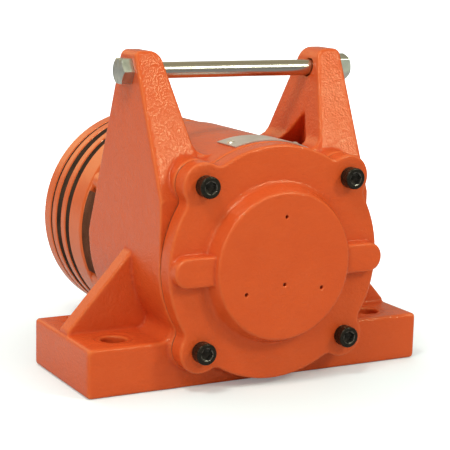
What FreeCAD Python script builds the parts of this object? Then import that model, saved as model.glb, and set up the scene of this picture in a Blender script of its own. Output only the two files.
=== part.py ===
import FreeCAD, Part
import math
import os

# Pneumatic vibration motor. An air turbine at the rear spins a shaft with a half-moon weight
# inside a cast housing, and the housing is bolted down through its base.
# Millimetres, +Z up. The origin is the centre of the base bolt pattern on the underside.
# The shaft runs along Y and the front cover faces -Y.

V = FreeCAD.Vector

# How far cutting tools run past a face, how close counts as on a plane,
# and the share of a half width that rounds an end and still leaves its outline closed
past = 1.0
near = 0.01
end_round_share = 0.98

# Base block
base_width = 294.0
base_depth = 107.0
base_height = 38.0
base_end_round = 3.0
base_edge_round = 2.5
base_bolt_span_x = 230.0
base_bolt_span_y = 54.0
base_bolt_hole_d = 19.5
spot_face_d = 31.0
spot_face_depth = 0.8

# Housing body
axis_height = 96.2
body_r = 91.5
body_length = 133.0
bore_r = 70.0
flange_proud = 3.0
saddle_blend = 9.0
rim_round = 2.0

# Ears for the front cover screws
ear_pitch_r = 89.2
ear_r = 18.0
ear_blend = 8.0
ear_length = 24.0
ear_angles = (45.0, 135.0, 225.0, 315.0)

# Towers that carry the lifting bolt
tower_top = 253.5
tower_top_width = 21.0
tower_front_depth = 9.7
tower_rear_depth = 15.5
tower_inner_lean = 11.6
tower_front_lean = 24.5
tower_rear_lean = 21.5
tower_outer_round = 5.0
tower_inner_round = 10.0
tower_edge_round = 2.0
tower_foot_blend = 12.0
pocket_apex_height = 204.5
pocket_front_leg = 22.0
pocket_rear_lean = 44.0
pocket_wall_lean = 37.0
pocket_web = 13.0

# Gussets between the towers and the base ends
gusset_thickness = 16.0
gusset_foot_inset = 2.0
gusset_lip = 4.5
gusset_rise = 4.0
gusset_edge_round = 1.5

# Lifting bolt
lift_y = 2.0
lift_drop = 15.6
lift_bolt_d = 12.7
lift_hole_d = 14.3
lift_hex_af = 19.05
lift_head_t = 9.4
lift_nut_t = 11.6
lift_head_turn = 30.0
lift_nut_turn = 9.0

# Front cover
gasket_t = 0.8
gasket_inset = 0.6
cover_inset = 0.3
cover_rim_t = 15.2
cover_edge_round = 2.0
boss_face_r = 57.0
boss_foot_r = 62.0
boss_height = 13.8
boss_edge_round = 2.5
boss_foot_round = 5.0
boss_wall = 6.0
bearing_relief = 1.5
spigot_length = 6.0
spigot_play = 0.1
lug_height = 23.0
lug_inset = 1.0
lug_drop = 4.3
lug_edge_round = 2.0
vent_d = 3.0
vent_pitch_r = 38.1
vent_angles = (90.0, 210.0, 330.0)
centre_vent_drop = 14.0

# Cover screws
cover_screw_d = 11.0
cover_screw_head_d = 16.6
cover_screw_head_h = 9.6
cover_screw_length = 38.0
cover_screw_socket_af = 9.0
cover_screw_hole_d = 12.0
screw_socket_share = 0.55
screw_chamfer = 1.0
thread_play = 0.1
drill_point = 1.0

# Name plate, left blank
plate_depth = 29.0
plate_setback = 4.0
plate_angle = 86.5
plate_half_angle = 21.0
plate_t = 0.8
plate_play = 0.15
pin_d = 3.0
pin_head_d = 6.0
pin_head_h = 1.6
pin_length = 8.0
pin_inset_angle = 2.6

# Roller bearings
bearing_bore_d = 40.0
bearing_outer_d = 90.0
bearing_width = 23.0
bearing_fit = 0.05
race_inner_r = 26.0
race_outer_r = 40.0
outer_flange_r = 36.0
inner_flange_r = 29.0
roller_length = 14.0
roller_play = 0.3
roller_count = 12
cage_play = 0.6
cage_width = 20.0

# Shaft and eccentric weight
shaft_fit = 0.03
shaft_end_gap = 1.0
collar_d = 48.0
shaft_main_d = 56.0
shaft_land = 10.0
weight_r = 66.0
weight_hub_r = 38.0
weight_length = 70.0
weight_key_width = 16.0
weight_key_height = 10.0
weight_key_length = 58.0
key_play = 0.05
clip_t = 2.5
clip_depth = 1.5
clip_reach = 5.0
clip_play = 0.1
clip_gap_angle = 50.0

# Rear cover, seal and exhaust felt band
standoff_length = 18.9
rear_drum_r = 74.0
rear_spigot_length = 23.0
rear_lug_r = 9.5
stack_pitch_r = 81.0
stack_count = 6
stack_start_angle = 30.0
bearing_web = 4.0
web_hole_play = 1.5
seal_outer_d = 52.0
seal_width = 7.0
seal_land_d = 35.0
seal_play = 0.3
channel_inner_r = 56.0
channel_outer_r = 67.0
channel_depth = 9.0
port_d = 5.0
band_outer_r = 89.0
band_play = 0.2
snap_ring_t = 2.0
snap_ring_depth = 2.0
snap_ring_reach = 3.0
snap_ring_gap_angle = 40.0

# Turbine
stack_r = 90.0
casing_length = 26.5
casing_front_round = 4.0
casing_edge_round = 1.2
casing_bore_r = 73.0
nozzle_plate_r = 76.0
nozzle_plate_t = 6.0
nozzle_plate_play = 0.1
nozzle_ring_t = 2.8
nozzle_count = 8
nozzle_d = 5.0
nozzle_angle = 62.0
nozzle_pitch_r = 55.5
nozzle_ring_band = 19.0
exhaust_window_d = 7.0
exhaust_window_count = 12
exhaust_window_pitch_r = 68.5
wheel_gap = 1.5
wheel_hub_r = 24.0
wheel_hub_length = 14.0
wheel_bore_d = 30.0
wheel_web_t = 6.0
wheel_rim_r = 47.0
wheel_rim_t = 3.0
wheel_tip_r = 64.0
wheel_rim_setback = 1.5
blade_count = 24
blade_chord = 12.0
blade_hollow = 3.2
blade_bulge = 5.4
blade_root = 1.0
wheel_key_width = 8.0
wheel_key_height = 7.0
wheel_key_length = 10.0
wheel_thread_d = 24.0
wheel_washer_d = 44.0
wheel_washer_t = 2.5
wheel_nut_af = 36.0
wheel_nut_t = 10.0
wheel_thread_spare = 1.5
dome_gap = 3.0
dome_wall = 4.0

# Muffler stack and end cap
felt_thicknesses = (8.5, 9.8, 3.5)
muffler_ring_t = 9.6
felt_outer_r = 89.2
felt_inner_r = 74.0
end_cap_t = 14.0
end_cap_round = 1.5
inlet_bore_r = 12.0
inlet_hub_r = 24.0
inlet_hub_length = 10.0
tube_outer_r = 63.5
tube_wall = 3.0
tube_lip = 2.5
tube_play = 0.1
stack_screw_d = 8.0
stack_screw_hole_d = 8.6
stack_screw_head_d = 12.0
stack_screw_head_h = 8.0
stack_screw_socket_af = 6.0
stack_screw_bite = 15.0
stack_head_sink = 6.5
stack_head_play = 0.8

# Stations along the shaft, from front to rear
front_joint_y = -base_depth / 2 - flange_proud
cover_back_y = front_joint_y - gasket_t
cover_rim_y = cover_back_y - cover_rim_t
boss_face_y = cover_rim_y - boss_height
front_bearing_y = boss_face_y + boss_wall
rear_joint_y = front_joint_y + body_length
rear_cover_y = rear_joint_y + gasket_t
casing_y = rear_cover_y + standoff_length
rear_bearing_y = casing_y - seal_width - bearing_web - bearing_width
casing_end_y = casing_y + casing_length
wheel_y = casing_y + wheel_gap
front_collar_y = front_bearing_y + bearing_width
weight_y = (front_collar_y + rear_bearing_y - weight_length) / 2
lift_z = tower_top - lift_drop


def radial(radius, degrees, y):
    """Point at a radius and an angle about the shaft axis; 0 degrees is +X and 90 is +Z."""
    turn = math.radians(degrees)
    return V(radius * math.cos(turn), y, axis_height + radius * math.sin(turn))


def rod(radius, y0, y1, centre=None):
    """Cylinder along Y, on the shaft axis unless another centre is given."""
    base = centre or V(0, 0, axis_height)
    return Part.makeCylinder(radius, y1 - y0, V(base.x, y0, base.z), V(0, 1, 0))


def ring(outer_r, inner_r, y0, y1):
    return rod(outer_r, y0, y1).cut(rod(inner_r, y0 - past, y1 + past))


def turned(profile):
    """Solid of revolution about the shaft axis from (radius, y) corners."""
    points = [V(r, y, axis_height) for r, y in profile]
    face = Part.Face(Part.makePolygon(points + points[:1]))
    return face.revolve(V(0, 0, axis_height), V(0, 1, 0), 360)


def sector(outer_r, inner_r, y0, y1, start, stop):
    """Part of a ring between two angles about the shaft axis."""
    middle = (start + stop) / 2
    outer = [radial(outer_r, a, y0) for a in (start, middle, stop)]
    inner = [radial(inner_r, a, y0) for a in (stop, middle, start)]
    edges = [
        Part.Arc(*outer).toShape(),
        Part.LineSegment(outer[2], inner[0]).toShape(),
        Part.Arc(*inner).toShape(),
        Part.LineSegment(inner[2], outer[0]).toShape(),
    ]
    return Part.Face(Part.Wire(edges)).extrude(V(0, y1 - y0, 0))


def rounded_face(corners, radii):
    """Flat face from corner points, each corner rounded by its own radius."""
    count = len(corners)
    edges = []
    ends = []
    for i, corner in enumerate(corners):
        to_last = (corners[i - 1] - corner).normalize()
        to_next = (corners[(i + 1) % count] - corner).normalize()
        half = to_last.getAngle(to_next) / 2
        reach = radii[i] / math.tan(half)
        inward = (to_last + to_next).normalize()
        middle = corner + inward * (radii[i] / math.sin(half) - radii[i])
        ends.append((corner + to_last * reach, middle, corner + to_next * reach))
    for i, (start, middle, stop) in enumerate(ends):
        if radii[i] > 0:
            edges.append(Part.Arc(start, middle, stop).toShape())
        edges.append(Part.LineSegment(stop, ends[(i + 1) % count][0]).toShape())
    return Part.Face(Part.Wire(edges))


def eared_prism(rim_r, pitch_r, lobe_r, blend, angles, y0, y1):
    """Round flange with a rounded ear at each angle, each ear blended into the rim by arcs."""
    blend_r = rim_r + blend
    lobe_reach = lobe_r + blend
    cosine = (blend_r**2 + pitch_r**2 - lobe_reach**2) / (2 * blend_r * pitch_r)
    swing = math.degrees(math.acos(cosine))
    edges = []
    for i, angle in enumerate(angles):
        lobe = radial(pitch_r, angle, y0)
        rims = []
        for side in (-1, 1):
            blend_centre = radial(blend_r, angle + side * swing, y0)
            on_rim = radial(rim_r, angle + side * swing, y0)
            on_lobe = lobe + (blend_centre - lobe) * (lobe_r / lobe_reach)
            inward = ((on_rim - blend_centre) + (on_lobe - blend_centre)).normalize()
            rims.append((on_rim, blend_centre + inward * blend, on_lobe))
        edges.append(Part.Arc(*rims[0]).toShape())
        edges.append(Part.Arc(rims[0][2], radial(pitch_r + lobe_r, angle, y0), rims[1][2]).toShape())
        edges.append(Part.Arc(*reversed(rims[1])).toShape())
        following = angles[(i + 1) % len(angles)] + (360 if i + 1 == len(angles) else 0)
        stop = following - swing
        halfway = (angle + swing + stop) / 2
        rim_points = (rims[1][0], radial(rim_r, halfway, y0), radial(rim_r, stop, y0))
        edges.append(Part.Arc(*rim_points).toShape())
    return Part.Face(Part.Wire(edges)).extrude(V(0, y1 - y0, 0))


def edges_where(shape, test):
    """Edges whose ends and middle all pass a test."""
    chosen = []
    for edge in shape.Edges:
        middle = edge.valueAt((edge.FirstParameter + edge.LastParameter) / 2)
        if all(test(point) for point in [middle] + [v.Point for v in edge.Vertexes]):
            chosen.append(edge)
    return chosen


def round_edges_at_y(shape, y, radius, widest=None):
    """Rounds the edges that lie in one plane across Y, outside a radius if one is given."""
    def wanted(point):
        off_axis = math.hypot(point.x, point.z - axis_height)
        return abs(point.y - y) < near and (widest is None or off_axis > widest)
    return shape.makeFillet(radius, edges_where(shape, wanted))


def hexagon(across_flats, start, along, turn=0.0):
    """Hexagonal prism from a start point along a vector; at no turn one corner points up."""
    corner_r = across_flats / math.sqrt(3)
    across = V(0, 1, 0) if abs(along.y) < abs(along.x) else V(1, 0, 0)
    up = V(0, 0, 1)
    points = []
    for i in range(7):
        angle = math.radians(60 * i + turn)
        points.append(start + across * (corner_r * math.sin(angle)) + up * (corner_r * math.cos(angle)))
    return Part.Face(Part.makePolygon(points)).extrude(along)


def cap_screw(head_d, head_h, shank_d, length, socket_af):
    """Socket head cap screw along +Y, the underside of its head at y = 0."""
    head = Part.makeCylinder(head_d / 2, head_h, V(0, -head_h, 0), V(0, 1, 0))
    head = head.makeChamfer(screw_chamfer, edges_where(head, lambda p: abs(p.y + head_h) < near))
    shank = Part.makeCylinder(shank_d / 2, length, V(0, 0, 0), V(0, 1, 0))
    tip = edges_where(shank, lambda p: abs(p.y - length) < near)
    shank = shank.makeChamfer(screw_chamfer, tip)
    socket = hexagon(socket_af, V(0, -head_h, 0), V(0, head_h * screw_socket_share, 0))
    return head.fuse(shank).removeSplitter().cut(socket)


def at_ears(solid, y):
    """Copies of a solid made about the Y axis, one at each ear."""
    return [solid.translated(radial(ear_pitch_r, angle, y)) for angle in ear_angles]


def stack_angles():
    return [stack_start_angle + i * 360 / stack_count for i in range(stack_count)]


def stack_rods(diameter, y0, y1):
    """Rods at the places of the long screws of the rear stack, for their holes and lugs."""
    return [rod(diameter / 2, y0, y1, radial(stack_pitch_r, a, 0)) for a in stack_angles()]


def key_solid(radius_in, height, width, length, y0, grow=0.0):
    """Round-ended key below the shaft axis; grow widens it all round to make its keyway."""
    half = width / 2 + grow
    top = axis_height - radius_in + grow
    corners = [
        V(-half, y0 - grow, top),
        V(half, y0 - grow, top),
        V(half, y0 + length + grow, top),
        V(-half, y0 + length + grow, top),
    ]
    end_round = half * end_round_share
    return rounded_face(corners, [end_round] * 4).extrude(V(0, 0, -height - 2 * grow))


def saddle():
    """Base block whose top sweeps up into the round body on both sides."""
    blend_z = base_height + saddle_blend
    blend_x = math.sqrt((body_r + saddle_blend) ** 2 - (axis_height - blend_z) ** 2)
    share = body_r / (body_r + saddle_blend)
    front = -base_depth / 2

    def curve(side):
        centre = V(side * blend_x, front, blend_z)
        on_top = V(centre.x, front, base_height)
        on_body = V(centre.x * share, front, axis_height + (blend_z - axis_height) * share)
        inward = ((on_top - centre) + (on_body - centre)).normalize()
        return on_top, centre + inward * saddle_blend, on_body

    half = base_width / 2

    diagonal = base_end_round * (1 - math.sqrt(0.5))

    def end_corner(side, z, inward):
        return (
            V(side * (half - base_end_round), front, z),
            V(side * (half - diagonal), front, z + inward * diagonal),
            V(side * half, front, z + inward * base_end_round),
        )

    edges = [Part.LineSegment(end_corner(-1, 0, 1)[0], end_corner(1, 0, 1)[0]).toShape()]
    for side in (1, -1):
        low = end_corner(side, 0, 1)
        high = end_corner(side, base_height, -1)
        arms = curve(side)
        edges.append(Part.Arc(*low).toShape())
        edges.append(Part.LineSegment(low[2], high[2]).toShape())
        edges.append(Part.Arc(*high).toShape())
        edges.append(Part.LineSegment(high[0], arms[0]).toShape())
        edges.append(Part.Arc(*arms).toShape())
    edges.append(Part.LineSegment(curve(1)[2], curve(-1)[2]).toShape())
    wire = Part.Wire(Part.__sortEdges__(edges))
    block = Part.Face(wire).extrude(V(0, base_depth, 0))
    corner_top = base_height + near
    end_edges = edges_where(block, lambda p: abs(abs(p.y) - base_depth / 2) < near and p.z < corner_top)
    return block.makeFillet(base_edge_round, end_edges)


def gussets():
    """Triangular ribs that tie the tower feet to the ends of the base."""
    half = gusset_thickness / 2
    foot_x = base_width / 2 - gusset_foot_inset
    sunk_z = base_height - base_end_round
    corners = [
        V(bore_r, -half, sunk_z),
        V(foot_x - base_end_round, -half, sunk_z),
        V(foot_x, -half, base_height + gusset_lip - gusset_foot_inset),
        V(body_r, -half, axis_height + gusset_rise),
        V(bore_r, -half, axis_height + gusset_rise),
    ]
    rib = Part.Face(Part.makePolygon(corners + corners[:1])).extrude(V(0, gusset_thickness, 0))

    def on_slope(point):
        return abs(abs(point.y) - half) < near and point.z > base_height - gusset_foot_inset

    slope_edges = [e for e in edges_where(rib, on_slope) if abs(e.Vertexes[0].Z - e.Vertexes[1].Z) > 1]
    rib = rib.makeFillet(gusset_edge_round, [e for e in slope_edges if e.Vertexes[0].X != e.Vertexes[1].X])
    return [rib, rib.mirror(V(0, 0, 0), V(1, 0, 0))]


def tower_side_face(x, grow=0.0):
    """Outline of a tower seen from the side: a narrow top, and a front and a rear that lean out."""
    drop = tower_top - axis_height
    front_top = lift_y - tower_front_depth - grow
    rear_top = lift_y + tower_rear_depth + grow
    corners = [
        V(x, front_top, tower_top + grow),
        V(x, rear_top, tower_top + grow),
        V(x, rear_top + drop * math.tan(math.radians(tower_rear_lean)), axis_height),
        V(x, front_top - drop * math.tan(math.radians(tower_front_lean)), axis_height),
    ]
    return Part.Face(Part.makePolygon(corners + corners[:1]))


def tower_inner_x(z):
    return body_r - tower_top_width - (tower_top - z) * math.tan(math.radians(tower_inner_lean))


def tower():
    """Right-hand tower: flat outside, tangent to the body, and leaning on its three other sides."""
    front = -base_depth
    corners = [
        V(body_r, front, axis_height),
        V(body_r, front, tower_top),
        V(tower_inner_x(tower_top), front, tower_top),
        V(tower_inner_x(axis_height), front, axis_height),
    ]
    outline = rounded_face(corners, [0, tower_outer_round, tower_inner_round, 0])
    block = outline.extrude(V(0, 2 * base_depth + body_length, 0))
    block = block.common(tower_side_face(0).extrude(V(base_width, 0, 0)))

    def on_front_or_rear(point):
        slope_front = math.tan(math.radians(tower_front_lean))
        slope_rear = math.tan(math.radians(tower_rear_lean))
        drop = tower_top - point.z
        front_y = lift_y - tower_front_depth - drop * slope_front
        rear_y = lift_y + tower_rear_depth + drop * slope_rear
        return abs(point.y - front_y) < near or abs(point.y - rear_y) < near

    long_edges = [
        edge for edge in edges_where(block, on_front_or_rear)
        if max(v.Z for v in edge.Vertexes) > axis_height + past
    ]
    return block.makeFillet(tower_edge_round, long_edges)


def tower_foot():
    """Cast blend between the inner face of a tower and the top of the body."""
    lean = math.radians(tower_inner_lean)
    inward = V(-math.cos(lean), 0, math.sin(lean))
    along = V(math.sin(lean), 0, math.cos(lean))
    start = V(tower_inner_x(axis_height), 0, axis_height) + inward * tower_foot_blend
    reach = body_r + tower_foot_blend
    offset = start - V(0, 0, axis_height)
    dot = offset.dot(along)
    rise = -dot + math.sqrt(dot**2 - offset.dot(offset) + reach**2)
    centre = start + along * rise
    on_tower = centre - inward * tower_foot_blend
    to_axis = (V(0, 0, axis_height) - centre).normalize()
    on_body = centre + to_axis * tower_foot_blend
    middle = centre + ((on_tower - centre) + (on_body - centre)).normalize() * tower_foot_blend
    inside = V(body_r - tower_top_width, 0, axis_height)
    edges = [
        Part.Arc(on_tower, middle, on_body).toShape(),
        Part.LineSegment(on_body, inside).toShape(),
        Part.LineSegment(inside, on_tower).toShape(),
    ]
    wedge = Part.Face(Part.Wire(edges)).translated(V(0, -base_depth, 0))
    wedge = wedge.extrude(V(0, 2 * base_depth + body_length, 0))
    return wedge.common(tower_side_face(0, -tower_edge_round / 2).extrude(V(base_width, 0, 0)))


def tower_pocket():
    """Three-cornered recess in the inner side of a tower. Its wall stands against the rear brace and
    gets deeper towards the body, down to the web, and its floor runs out at the front leg."""
    front_slope = math.tan(math.radians(tower_front_lean))
    front_top = lift_y - tower_front_depth
    apex_y = front_top - (tower_top - pocket_apex_height) * front_slope + pocket_front_leg
    fall = pocket_apex_height - axis_height
    front_y = apex_y - fall * front_slope
    rear_y = apex_y + fall * math.tan(math.radians(pocket_rear_lean))
    foot_x = tower_inner_x(axis_height)
    depth = fall * math.tan(math.radians(pocket_wall_lean))
    floor = [
        V(tower_inner_x(pocket_apex_height), apex_y, pocket_apex_height),
        V(foot_x + depth, rear_y, axis_height),
        V(foot_x, front_y, axis_height),
    ]
    mouth = [V(0, point.y, point.z) for point in floor]
    outlines = [Part.makePolygon(corners + corners[:1]) for corners in (mouth, floor)]
    room = Part.makeBox(body_r - pocket_web, rear_y - front_y, fall, V(0, front_y, axis_height))
    recess = Part.makeLoft(outlines, True, True).common(room)
    return recess.cut(rod(body_r, front_joint_y, rear_joint_y))


def main_housing():
    """One casting: base, round body, front ears, towers and gussets."""
    right_tower = tower().fuse(tower_foot()).cut(tower_pocket())
    left_tower = right_tower.mirror(V(0, 0, 0), V(1, 0, 0))
    ear_end_y = front_joint_y + ear_length
    ears = eared_prism(body_r, ear_pitch_r, ear_r, ear_blend, ear_angles, front_joint_y, ear_end_y)
    ears = round_edges_at_y(ears, front_joint_y, rim_round)
    body = rod(body_r, ear_end_y - ear_length / 2, rear_joint_y)
    body = round_edges_at_y(body, rear_joint_y, rim_round)
    towers = left_tower.fuse(right_tower)
    keep = Part.makeBox(base_width, body_length, tower_top, V(-base_width / 2, front_joint_y, 0))
    casting = saddle().multiFuse(gussets() + [body, ears, towers.common(keep)])

    cuts = [rod(bore_r, front_joint_y - past, rear_joint_y + past)]
    for x in (-base_bolt_span_x / 2, base_bolt_span_x / 2):
        for y in (-base_bolt_span_y / 2, base_bolt_span_y / 2):
            seat = base_height - spot_face_depth
            cuts.append(Part.makeCylinder(base_bolt_hole_d / 2, base_height, V(x, y, 0)))
            cuts.append(Part.makeCylinder(spot_face_d / 2, base_height, V(x, y, seat)))
    lift_start = V(-base_width / 2, lift_y, lift_z)
    cuts.append(Part.makeCylinder(lift_hole_d / 2, base_width, lift_start, V(1, 0, 0)))
    tap_depth = cover_screw_length - cover_rim_t - gasket_t + drill_point
    tap = Part.makeCylinder(cover_screw_d / 2 + thread_play, tap_depth, V(0, 0, 0), V(0, 1, 0))
    cuts += at_ears(tap, front_joint_y)
    bite_y = rear_joint_y - stack_screw_bite - drill_point
    cuts += stack_rods(stack_screw_d + 2 * thread_play, bite_y, rear_joint_y + past)
    cuts += [drive_pin_hole(angle) for angle in drive_pin_angles()]
    return casting.cut(cuts[0].multiFuse(cuts[1:])).removeSplitter()


def front_cover():
    """Cast cover with four ears, a raised round boss over the bearing and a bar at each side."""
    rim_r = body_r - cover_inset
    lobe_r = ear_r - cover_inset
    rim = eared_prism(rim_r, ear_pitch_r, lobe_r, ear_blend, ear_angles, cover_rim_y, cover_back_y)
    rim = round_edges_at_y(rim, cover_rim_y, cover_edge_round)
    boss = Part.makeCone(boss_face_r, boss_foot_r, boss_height, V(0, boss_face_y, axis_height), V(0, 1, 0))
    boss = round_edges_at_y(boss, boss_face_y, boss_edge_round)
    cover = rim.fuse(boss)
    foot = edges_where(
        cover,
        lambda p: abs(p.y - cover_rim_y) < near and math.hypot(p.x, p.z - axis_height) < boss_foot_r + near,
    )
    cover = cover.makeFillet(boss_foot_round, foot)
    cover = cover.multiFuse(side_bars())
    spigot = rod(bore_r - spigot_play, cover_back_y, cover_back_y + spigot_length)
    pocket = rod(bearing_outer_d / 2 + bearing_fit, front_bearing_y, cover_back_y + spigot_length + past)
    relief = rod(race_outer_r, front_bearing_y - bearing_relief, front_bearing_y)
    hole = Part.makeCylinder(cover_screw_hole_d / 2, cover_rim_t + 2 * past, V(0, -past, 0), V(0, 1, 0))
    vent_places = [radial(vent_pitch_r, a, 0) for a in vent_angles] + [radial(centre_vent_drop, 270, 0)]
    vents = [rod(vent_d / 2, boss_face_y - past, front_bearing_y + past, place) for place in vent_places]
    cuts = pocket.multiFuse([relief] + vents + at_ears(hole, cover_rim_y))
    return cover.fuse(spigot).cut(cuts).removeSplitter()


def side_bars():
    """Round-ended bars across the rim at three and nine o'clock."""
    half = lug_height / 2
    front = boss_face_y + lug_drop
    inner = boss_face_r - boss_foot_round
    corners = [
        V(inner, front, axis_height - half),
        V(body_r - lug_inset, front, axis_height - half),
        V(body_r - lug_inset, front, axis_height + half),
        V(inner, front, axis_height + half),
    ]
    end_round = half * end_round_share
    outline = rounded_face(corners, [0, end_round, end_round, 0])
    bar = outline.extrude(V(0, cover_rim_y + cover_edge_round - front, 0))
    front_edges = edges_where(bar, lambda p: abs(p.y - front) < near and p.x > inner + near)
    bar = bar.makeFillet(lug_edge_round, front_edges)
    return [bar, bar.mirror(V(0, 0, 0), V(1, 0, 0))]


def front_cover_gasket():
    rim_r = body_r - cover_inset - gasket_inset
    lobe_r = ear_r - cover_inset - gasket_inset
    sheet = eared_prism(rim_r, ear_pitch_r, lobe_r, ear_blend, ear_angles, cover_back_y, front_joint_y)
    hole = Part.makeCylinder(cover_screw_hole_d / 2, gasket_t + 2 * past, V(0, -past, 0), V(0, 1, 0))
    bore = rod(bore_r, cover_back_y - past, front_joint_y + past)
    return sheet.cut(bore.multiFuse(at_ears(hole, cover_back_y)))


def front_cover_screws():
    screw = cap_screw(
        cover_screw_head_d, cover_screw_head_h, cover_screw_d, cover_screw_length, cover_screw_socket_af
    )
    return Part.makeCompound(at_ears(screw, cover_rim_y))


def lifting_bolt():
    """Long hex bolt between the towers, which serves as the lifting bar."""
    head_start = V(-body_r - lift_head_t, lift_y, lift_z)
    head = hexagon(lift_hex_af, head_start, V(lift_head_t, 0, 0), lift_head_turn)
    length = 2 * body_r + lift_nut_t + screw_chamfer
    shank = Part.makeCylinder(lift_bolt_d / 2, length, V(-body_r, lift_y, lift_z), V(1, 0, 0))
    shank = shank.makeChamfer(screw_chamfer, edges_where(shank, lambda p: p.x > body_r))
    return head.fuse(shank).removeSplitter()


def lifting_nut():
    nut = hexagon(lift_hex_af, V(body_r, lift_y, lift_z), V(lift_nut_t, 0, 0), lift_nut_turn)
    thread_r = lift_bolt_d / 2 + thread_play
    start = V(body_r - past, lift_y, lift_z)
    return nut.cut(Part.makeCylinder(thread_r, lift_nut_t + 2 * past, start, V(1, 0, 0)))


def plate_front_y():
    return front_joint_y + plate_setback


def drive_pin_angles():
    reach = plate_half_angle - pin_inset_angle
    return (plate_angle - reach, plate_angle + reach)


def drive_pin_axis(angle):
    """Foot point of a drive pin on the body, and its outward direction."""
    foot = radial(body_r, angle, plate_front_y() + plate_depth / 2)
    outward = (foot - V(0, foot.y, axis_height)).normalize()
    return foot, outward


def drive_pin_hole(angle):
    foot, outward = drive_pin_axis(angle)
    depth = pin_length + drill_point
    return Part.makeCylinder(pin_d / 2 + thread_play, depth + past, foot - outward * depth, outward)


def nameplate():
    """Thin blank plate curved over the top of the body."""
    inner_r = body_r + plate_play
    start, stop = plate_angle - plate_half_angle, plate_angle + plate_half_angle
    plate = sector(inner_r + plate_t, inner_r, plate_front_y(), plate_front_y() + plate_depth, start, stop)
    for angle in drive_pin_angles():
        foot, outward = drive_pin_axis(angle)
        plate = plate.cut(Part.makeCylinder(pin_d / 2 + thread_play, pin_head_d, foot, outward))
    return plate


def nameplate_pins():
    """Two round-headed drive pins that hold the plate."""
    seat = plate_play + plate_t
    dome_r = (pin_head_d**2 / 4 + pin_head_h**2) / (2 * pin_head_h)
    half = math.asin(pin_head_d / 2 / dome_r) / 2
    shoulder_drop = dome_r * (1 - math.cos(half))
    pins = []
    for angle in drive_pin_angles():
        foot, outward = drive_pin_axis(angle)

        def at(radius, height):
            return foot + V(0, radius, 0) + outward * height

        corners = [
            at(0, -pin_length),
            at(pin_d / 2, -pin_length),
            at(pin_d / 2, seat),
            at(pin_head_d / 2, seat),
        ]
        top = at(0, seat + pin_head_h)
        shoulder = at(dome_r * math.sin(half), seat + pin_head_h - shoulder_drop)
        edges = Part.makePolygon(corners).Edges
        edges.append(Part.Arc(corners[-1], shoulder, top).toShape())
        edges.append(Part.LineSegment(top, corners[0]).toShape())
        pins.append(Part.Face(Part.Wire(edges)).revolve(foot, outward, 360))
    return Part.makeCompound(pins)


def bearing_outer_ring(y):
    """Outer ring with a roller track between two flanges."""
    outer_r = bearing_outer_d / 2
    track = (bearing_width - roller_length) / 2 - roller_play
    return turned([
        (outer_r, y),
        (outer_r, y + bearing_width),
        (outer_flange_r, y + bearing_width),
        (outer_flange_r, y + bearing_width - track),
        (race_outer_r, y + bearing_width - track),
        (race_outer_r, y + track),
        (outer_flange_r, y + track),
        (outer_flange_r, y),
    ])


def bearing_inner_ring(y):
    """Inner ring with a plain track and one flange."""
    bore = bearing_bore_d / 2 + shaft_fit
    track = (bearing_width - roller_length) / 2 - roller_play
    return turned([
        (bore, y),
        (bore, y + bearing_width),
        (race_inner_r, y + bearing_width),
        (race_inner_r, y + track),
        (inner_flange_r, y + track),
        (inner_flange_r, y),
    ])


def roller_places():
    pitch_r = (race_inner_r + race_outer_r) / 2
    return [radial(pitch_r, i * 360 / roller_count, 0) for i in range(roller_count)]


def roller_r():
    return (race_outer_r - race_inner_r) / 2 - roller_play


def bearing_rollers(y):
    start = y + (bearing_width - roller_length) / 2
    stop = start + roller_length
    return Part.makeCompound([rod(roller_r(), start, stop, place) for place in roller_places()])


def bearing_cage(y):
    """Window cage that keeps the rollers apart."""
    start = y + (bearing_width - cage_width) / 2
    band = ring(outer_flange_r - cage_play, inner_flange_r + cage_play, start, start + cage_width)
    middle = y + bearing_width / 2
    half = roller_length / 2 + roller_play
    window_r = roller_r() + roller_play
    windows = [rod(window_r, middle - half, middle + half, place) for place in roller_places()]
    return band.cut(windows[0].multiFuse(windows[1:]))


def weight_key(grow=0.0):
    start = weight_y + (weight_length - weight_key_length) / 2
    depth = shaft_main_d / 2 - weight_key_height / 2
    return key_solid(depth, weight_key_height, weight_key_width, weight_key_length, start, grow)


def wheel_key(grow=0.0):
    start = wheel_y + (wheel_hub_length - wheel_key_length) / 2
    depth = wheel_bore_d / 2 - wheel_key_height / 2
    return key_solid(depth, wheel_key_height, wheel_key_width, wheel_key_length, start, grow)


def shaft_end_y():
    return wheel_y + wheel_hub_length + wheel_washer_t + wheel_nut_t + wheel_thread_spare


def rotor_shaft():
    """Stepped shaft: two bearing seats, the weight seat between them, seal land and turbine seat."""
    main_y = weight_y - shaft_land
    main_end = weight_y + weight_length + shaft_land
    rear_bearing_end = rear_bearing_y + bearing_width
    shaft = turned([
        (0, front_bearing_y + shaft_end_gap),
        (bearing_bore_d / 2, front_bearing_y + shaft_end_gap),
        (bearing_bore_d / 2, front_collar_y),
        (collar_d / 2, front_collar_y),
        (collar_d / 2, main_y),
        (shaft_main_d / 2, main_y),
        (shaft_main_d / 2, main_end),
        (collar_d / 2, main_end),
        (collar_d / 2, rear_bearing_y),
        (bearing_bore_d / 2, rear_bearing_y),
        (bearing_bore_d / 2, rear_bearing_end),
        (seal_land_d / 2, rear_bearing_end),
        (seal_land_d / 2, wheel_y),
        (wheel_bore_d / 2, wheel_y),
        (wheel_bore_d / 2, wheel_y + wheel_hub_length),
        (wheel_thread_d / 2, wheel_y + wheel_hub_length),
        (wheel_thread_d / 2, shaft_end_y()),
        (0, shaft_end_y()),
    ])
    groove_r = shaft_main_d / 2 - clip_depth - clip_play
    cuts = [weight_key(key_play), wheel_key(key_play)]
    for y in clip_stations():
        cuts.append(ring(shaft_main_d / 2 + past, groove_r, y - clip_play, y + clip_t + clip_play))
    return shaft.cut(cuts[0].multiFuse(cuts[1:]))


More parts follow.
